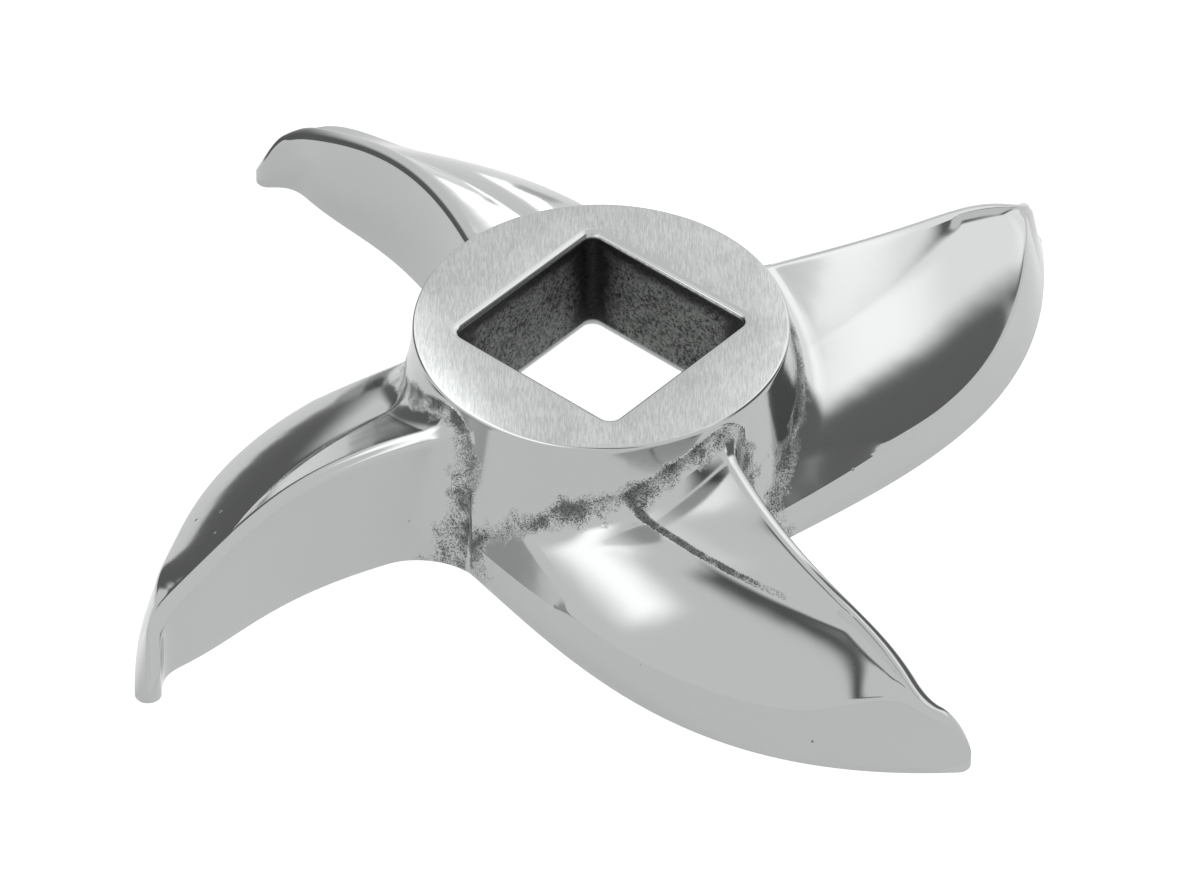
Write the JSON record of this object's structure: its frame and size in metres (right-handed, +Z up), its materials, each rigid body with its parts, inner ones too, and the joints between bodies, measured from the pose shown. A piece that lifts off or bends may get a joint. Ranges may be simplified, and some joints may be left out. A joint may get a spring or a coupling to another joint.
{
  "type": "meat grinder knife",
  "caption": "Meat grinder knife: one polished stainless casting with swept, curved blades round a hub with a square drive bore and a ground face.",
  "frame": {"origin": "on the bore's axis, in the plane of the ground cutting faces that the knife rests on", "axes": "+Z up the bore's axis towards the hub's ground face; X and Y square to the flats of the bore"},
  "size_m": [0.0974, 0.0974, 0.0156],
  "materials": {
    "cast_stainless_steel": "polished as cast, with ground hub face and cutting faces"
  },
  "bodies": {
    "root": {"knife": "cast_stainless_steel"}
  },
  "joints": []
}
